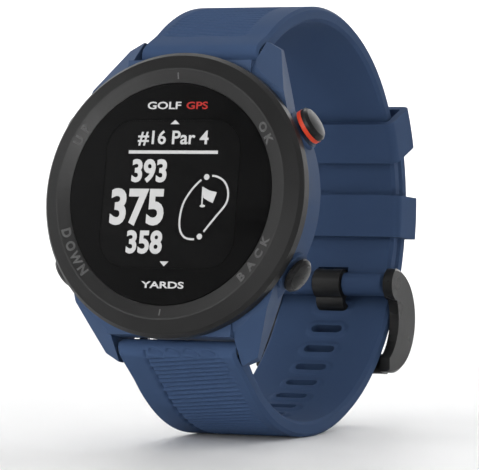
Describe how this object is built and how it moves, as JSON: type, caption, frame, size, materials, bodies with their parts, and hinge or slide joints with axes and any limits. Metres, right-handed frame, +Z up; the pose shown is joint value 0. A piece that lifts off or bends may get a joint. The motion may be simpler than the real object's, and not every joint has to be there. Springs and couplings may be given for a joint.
{
  "type": "golf gps watch",
  "caption": "Round wristwatch with a GPS golf display, side push buttons and a quick-release silicone strap closed by a pin buckle and keepers.",
  "frame": {"origin": "centre of the bounding box's underside, on the surface that the strap loop stands on", "axes": "+X to the dial's 3 o'clock, +Y from the glass to the wrist side, +Z up; the dial leans back 10 degrees from vertical"},
  "size_m": [0.0438, 0.0716, 0.0673],
  "materials": {
    "bezel_black": "satin",
    "lens_glass": "gloss",
    "seal_rubber": "matte",
    "display": "gloss",
    "light_guide": "satin",
    "polyimide": "satin",
    "inner_plastic": "matte",
    "circuit_board": "satin",
    "steel": "brushed",
    "copper_foil": "satin",
    "cell_wrap": "satin",
    "foam": "matte",
    "case_blue": "satin",
    "case_back": "satin",
    "gold_contact": "polished",
    "button_black": "satin",
    "ring_red": "satin",
    "strap_blue": "matte",
    "buckle_black": "satin"
  },
  "bodies": {
    "case": {"bezel": "bezel_black", "cover_glass": "lens_glass", "glass_seal": "seal_rubber", "display_panel": "display", "display_backlight": "light_guide", "display_flex": "polyimide", "inner_frame": "inner_plastic", "gps_antenna": "copper_foil", "main_board": "circuit_board", "shield_cans": "steel", "tact_switches": "steel", "battery": "cell_wrap", "battery_pad": "foam", "case_body": "case_blue", "case_seal": "seal_rubber", "back_cover": "case_back", "back_screws": "steel", "charge_contacts": "gold_contact", "up_seal": "seal_rubber", "down_seal": "seal_rubber", "ok_seal": "seal_rubber", "back_seal": "seal_rubber"},
    "up_button": {"up_button": "button_black", "up_clip": "steel"},
    "down_button": {"down_button": "button_black", "down_clip": "steel"},
    "ok_button": {"ok_button": "button_black", "ok_clip": "steel", "ok_ring": "ring_red"},
    "back_button": {"back_button": "button_black", "back_clip": "steel"},
    "upper_band": {"upper_strap": "strap_blue", "upper_lug_bar": "steel", "upper_latch_spring": "steel", "buckle_pin": "steel"},
    "lower_band": {"lower_strap": "strap_blue", "lower_lug_bar": "steel", "lower_latch_spring": "steel"},
    "upper_latch": {"upper_lug_latch": "steel"},
    "lower_latch": {"lower_lug_latch": "steel"},
    "buckle": {"buckle_frame": "buckle_black"},
    "prong": {"buckle_prong": "buckle_black"},
    "upper_keeper": {"upper_keeper": "strap_blue"},
    "lower_keeper": {"lower_keeper": "strap_blue"}
  },
  "joints": [
    {"name": "up_button_press", "type": "slide", "parent": "case", "child": "up_button", "axis": [0.866, -0.0868, -0.4924], "range_m": [0, 0.0005], "stiffness_N_per_m": 2500},
    {"name": "down_button_press", "type": "slide", "parent": "case", "child": "down_button", "axis": [0.866, 0.0868, 0.4924], "range_m": [0, 0.0005], "stiffness_N_per_m": 2500},
    {"name": "ok_button_press", "type": "slide", "parent": "case", "child": "ok_button", "axis": [-0.866, -0.0868, -0.4924], "range_m": [0, 0.0005], "stiffness_N_per_m": 2500},
    {"name": "back_button_press", "type": "slide", "parent": "case", "child": "back_button", "axis": [-0.866, 0.0868, 0.4924], "range_m": [0, 0.0005], "stiffness_N_per_m": 2500},
    {"name": "upper_strap_swing", "type": "hinge", "parent": "case", "child": "upper_band", "pos_m": [-0.00002, -0.02041, 0.05964], "axis": [1, 0, 0], "range_deg": [0, 75]},
    {"name": "lower_strap_swing", "type": "hinge", "parent": "case", "child": "lower_band", "pos_m": [-0.00002, -0.02837, 0.01454], "axis": [-1, 0, 0], "range_deg": [0, 75], "deforming": ["lower_strap"]},
    {"name": "upper_latch_pull", "type": "slide", "parent": "upper_band", "child": "upper_latch", "axis": [1, 0, 0], "range_m": [0, 0.0013], "stiffness_N_per_m": 900, "deforming": ["upper_latch_spring"]},
    {"name": "lower_latch_pull", "type": "slide", "parent": "lower_band", "child": "lower_latch", "axis": [1, 0, 0], "range_m": [0, 0.0013], "stiffness_N_per_m": 900, "deforming": ["lower_latch_spring"]},
    {"name": "buckle_swing", "type": "hinge", "parent": "upper_band", "child": "buckle", "pos_m": [-0.00002, 0.02614, 0.0228], "axis": [1, 0, 0], "range_deg": [0, 20]},
    {"name": "prong_swing", "type": "hinge", "parent": "buckle", "child": "prong", "pos_m": [-0.00002, 0.02614, 0.0228], "axis": [1, 0, 0], "range_deg": [0, 20]},
    {"name": "upper_keeper_slide", "type": "hinge", "parent": "upper_band", "child": "upper_keeper", "pos_m": [-0.00002, 0.00096, 0.03613], "axis": [1, 0, 0], "range_deg": [-5, 18]},
    {"name": "lower_keeper_slide", "type": "hinge", "parent": "upper_band", "child": "lower_keeper", "pos_m": [-0.00002, 0.00096, 0.03613], "axis": [1, 0, 0], "range_deg": [-8, 5]}
  ]
}
